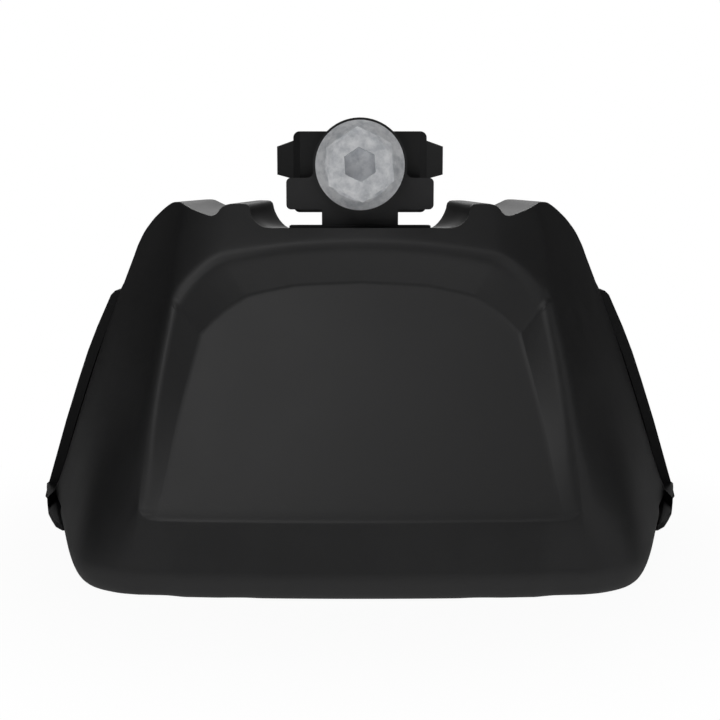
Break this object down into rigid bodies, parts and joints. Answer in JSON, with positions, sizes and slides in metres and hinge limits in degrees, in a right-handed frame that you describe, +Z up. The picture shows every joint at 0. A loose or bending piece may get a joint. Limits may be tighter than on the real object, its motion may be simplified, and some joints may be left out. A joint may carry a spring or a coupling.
{
  "type": "roof rack leg",
  "caption": "Mounting leg of a roof rack platform: cast leg on a padded base plate, moulded cover, and a horizontal clamp bolt with its channel nut.",
  "frame": {"origin": "middle of the pad's underside, where the leg sits on the roof, midway between the two roof slots", "axes": "+X along the leg's long side, -Y outboard through the cover's front face and the clamp bolt's head, +Z up from the roof"},
  "size_m": [0.1556, 0.0851, 0.0907],
  "materials": {
    "cover_plastic": "fine-textured charcoal moulding",
    "shell_plastic": "near-black moulding",
    "cast_black": "black powder coat over a casting",
    "pad_rubber": "black rubber",
    "plate_steel": "zinc-plated sheet steel",
    "fastener_zinc": "bright zinc plating",
    "bolt_galvanised": "mottled hot-dip zinc",
    "washer_black": "black coating",
    "nut_plastic": "near-black glass-filled plastic",
    "insert_steel": "plain zinc-plated steel"
  },
  "bodies": {
    "leg": {"base_pad": "pad_rubber", "base_plate": "plate_steel", "clinch_nut_left": "fastener_zinc", "clinch_nut_right": "fastener_zinc", "leg_casting": "cast_black", "foot_washer_left": "fastener_zinc", "foot_washer_right": "fastener_zinc", "foot_spring_washer_left": "fastener_zinc", "foot_spring_washer_right": "fastener_zinc", "foot_bolt_left": "fastener_zinc", "foot_bolt_right": "fastener_zinc", "rear_shell": "shell_plastic", "shell_screw_1": "fastener_zinc", "shell_screw_2": "fastener_zinc", "shell_screw_3": "fastener_zinc", "shell_screw_4": "fastener_zinc", "saddle_pad": "pad_rubber"},
    "cover": {"outer_cover": "cover_plastic"},
    "bolt": {"clamp_bolt": "bolt_galvanised", "clamp_washer": "washer_black"},
    "nut": {"channel_nut": "nut_plastic", "nut_insert": "insert_steel"}
  },
  "joints": [
    {"name": "bolt_turn", "type": "hinge", "parent": "leg", "child": "bolt", "pos_m": [0, -0.0094, 0.081], "axis": [0, -1, 0], "range_deg": [0, 1080]},
    {"name": "nut_slide", "type": "slide", "parent": "leg", "child": "nut", "axis": [0, 1, 0], "range_m": [0, 0.00376]},
    {"name": "cover_pull", "type": "slide", "parent": "leg", "child": "cover", "axis": [0, -1, 0], "range_m": [0, 0.06]}
  ],
  "couplings": [
    {"joint": "nut_slide", "follows": "bolt_turn", "m_per_rad": 0.00019894}
  ]
}
